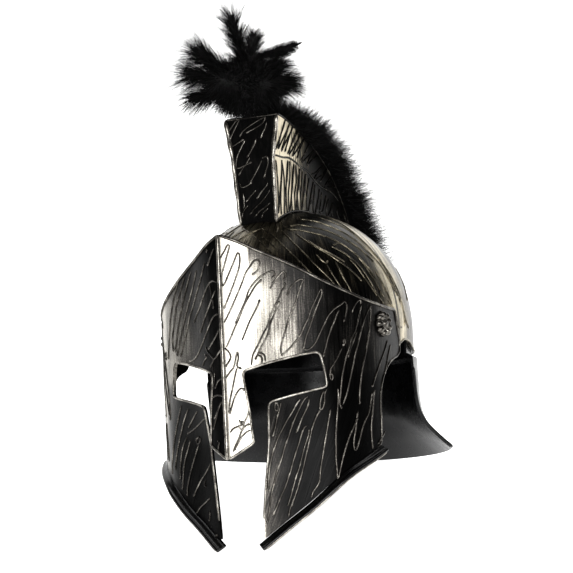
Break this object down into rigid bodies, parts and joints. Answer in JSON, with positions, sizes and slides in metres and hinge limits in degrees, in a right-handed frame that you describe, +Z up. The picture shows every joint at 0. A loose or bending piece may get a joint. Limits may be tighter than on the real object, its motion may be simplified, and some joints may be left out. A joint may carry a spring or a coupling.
{
  "type": "crested costume helmet",
  "caption": "Costume helmet with a folded face mask, flared neck guard and a tall crest carrying a feather plume.",
  "frame": {"origin": "bottom centre of the box round the helmet as it rests", "axes": "+X to the wearer's left, +Y to the back of the head, +Z up from the table"},
  "size_m": [0.2462, 0.3428, 0.4478],
  "materials": {
    "pewter_paint": "black plastic with brushed pewter paint",
    "worn_bronze_paint": "black plastic with worn warm metallic paint",
    "dark_gloss_plastic": "smooth black gloss plastic",
    "black_feather_down": "fluffy black feathers"
  },
  "bodies": {
    "root": {"skull_dome": "worn_bronze_paint", "neck_guard": "dark_gloss_plastic", "face_mask": "pewter_paint", "cheek_lip_left": "pewter_paint", "cheek_lip_right": "pewter_paint", "temple_rosette_left": "pewter_paint", "temple_rosette_right": "pewter_paint", "crest_box": "pewter_paint", "plume_front": "black_feather_down", "plume_back": "black_feather_down"}
  },
  "joints": []
}
